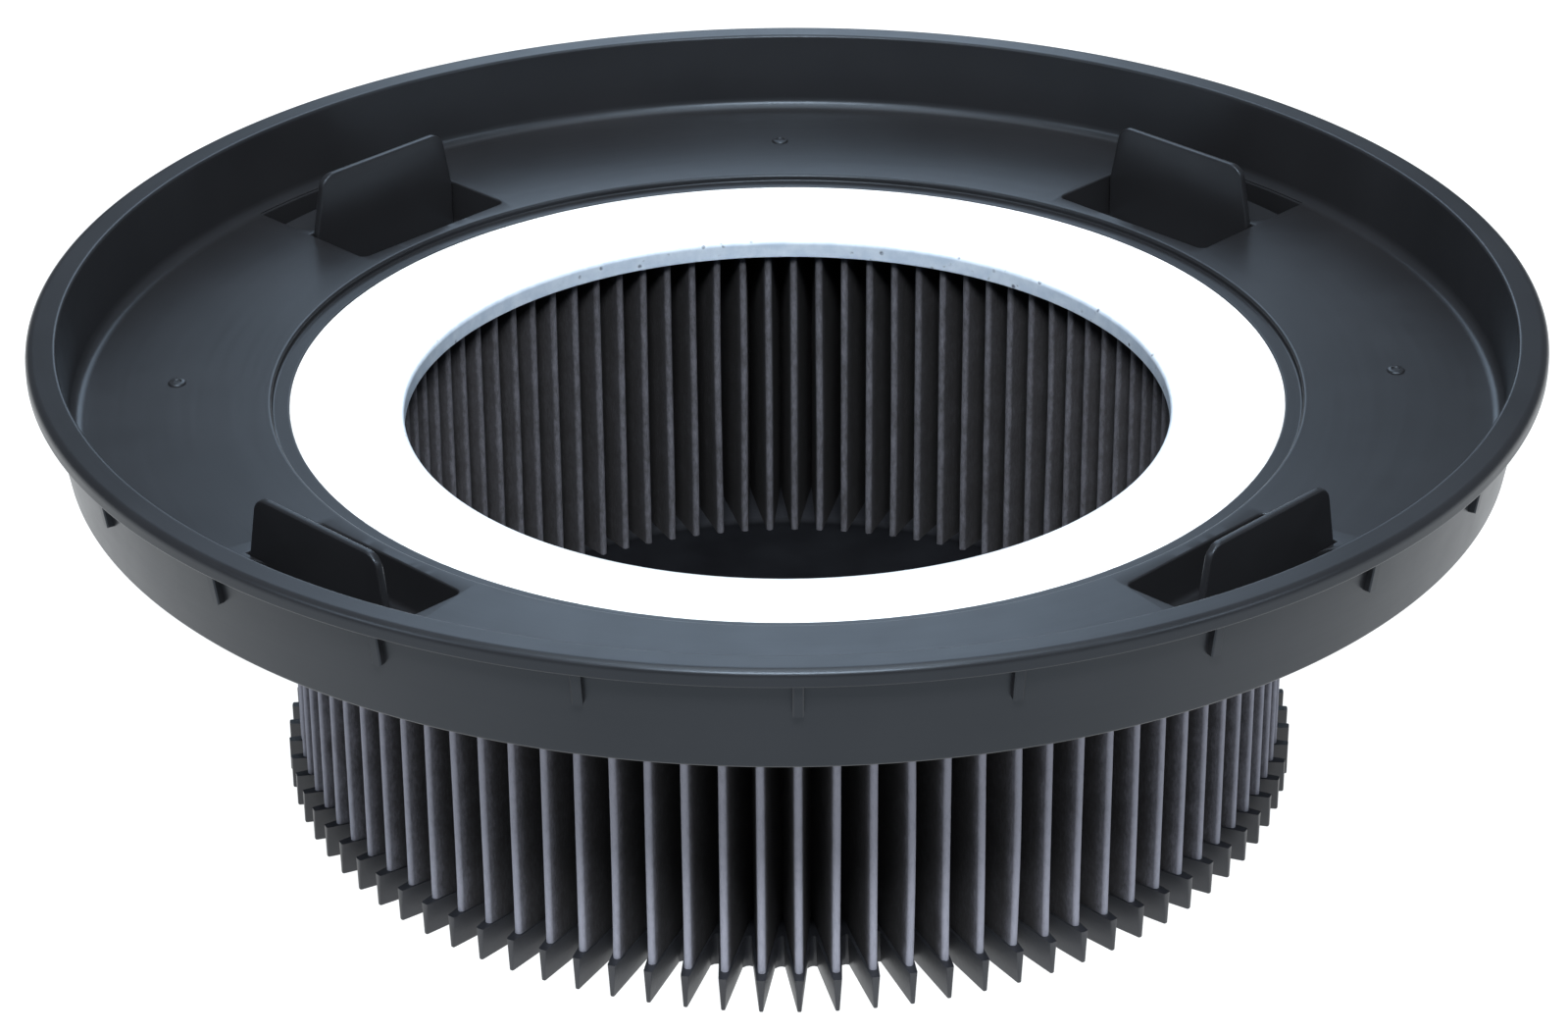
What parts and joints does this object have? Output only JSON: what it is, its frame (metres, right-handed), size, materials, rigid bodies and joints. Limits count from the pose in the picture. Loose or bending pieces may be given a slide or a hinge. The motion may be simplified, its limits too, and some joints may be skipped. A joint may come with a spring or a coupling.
{
  "type": "vacuum cartridge filter",
  "caption": "Pleated cartridge filter hung in a wide lipped dish with finger tabs, a pale cast seal ring at the top and a star-toothed cap closing the foot.",
  "frame": {"origin": "on the axis, at the underside of the end cap", "axes": "+Z along the cartridge's axis, out of the clean-air opening; the finger pockets lie on the diagonals of X and Y"},
  "size_m": [0.36, 0.36, 0.12],
  "materials": {
    "dish_plastic": "satin black injection-moulded polypropylene",
    "ring_urethane": "white cast polyurethane, smooth top and bubbled inner wall",
    "filter_media": "black needled polyester, lighter along the folds",
    "cap_urethane": "satin black cast polyurethane"
  },
  "bodies": {
    "root": {"carrier_dish": "dish_plastic", "seal_ring": "ring_urethane", "pleat_pack": "filter_media", "end_cap": "cap_urethane"}
  },
  "joints": []
}
